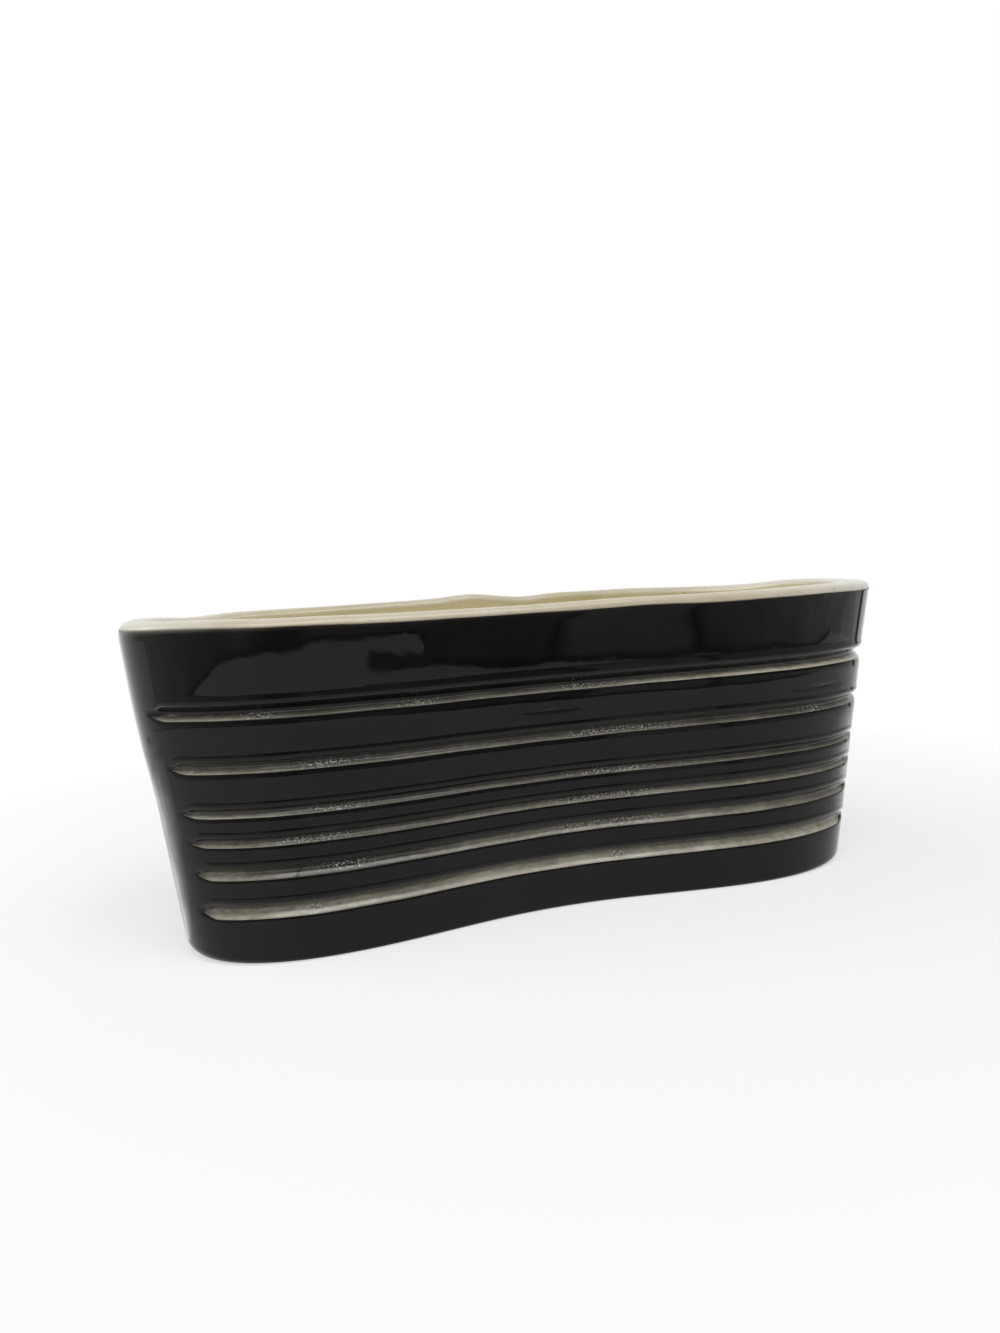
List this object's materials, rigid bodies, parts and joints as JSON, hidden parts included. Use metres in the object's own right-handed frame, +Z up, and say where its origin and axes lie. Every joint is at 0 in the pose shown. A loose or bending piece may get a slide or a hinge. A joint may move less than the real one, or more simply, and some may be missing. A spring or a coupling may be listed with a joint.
{
  "type": "ceramic planter",
  "caption": "Long glazed ceramic trough planter with pinched, leaning walls, pale glaze lines in level grooves, a black outside and an ivory lip and inside; holds soil or a pot.",
  "frame": {"origin": "on the surface the planter stands on, under the middle of its foot", "axes": "+X along the long side, to the right seen from the front; +Y to the back; +Z up"},
  "size_m": [0.24, 0.0762, 0.0954],
  "materials": {
    "clay": "bare fired clay, matte",
    "black_glaze": "glossy black glaze",
    "ivory_glaze": "satin ivory glaze",
    "line_glaze": "glossy grey-ivory glaze, thin over black"
  },
  "bodies": {
    "root": {"clay_body": "clay", "black_outer_glaze": "black_glaze", "ivory_liner_glaze": "ivory_glaze", "front_groove_line_1": "line_glaze", "front_groove_line_2": "line_glaze", "front_groove_line_3": "line_glaze", "front_groove_line_4": "line_glaze", "front_groove_line_5": "line_glaze", "front_groove_line_6": "line_glaze", "rear_groove_line_1": "line_glaze", "rear_groove_line_2": "line_glaze", "rear_groove_line_3": "line_glaze", "rear_groove_line_4": "line_glaze", "rear_groove_line_5": "line_glaze", "rear_groove_line_6": "line_glaze"}
  },
  "joints": []
}
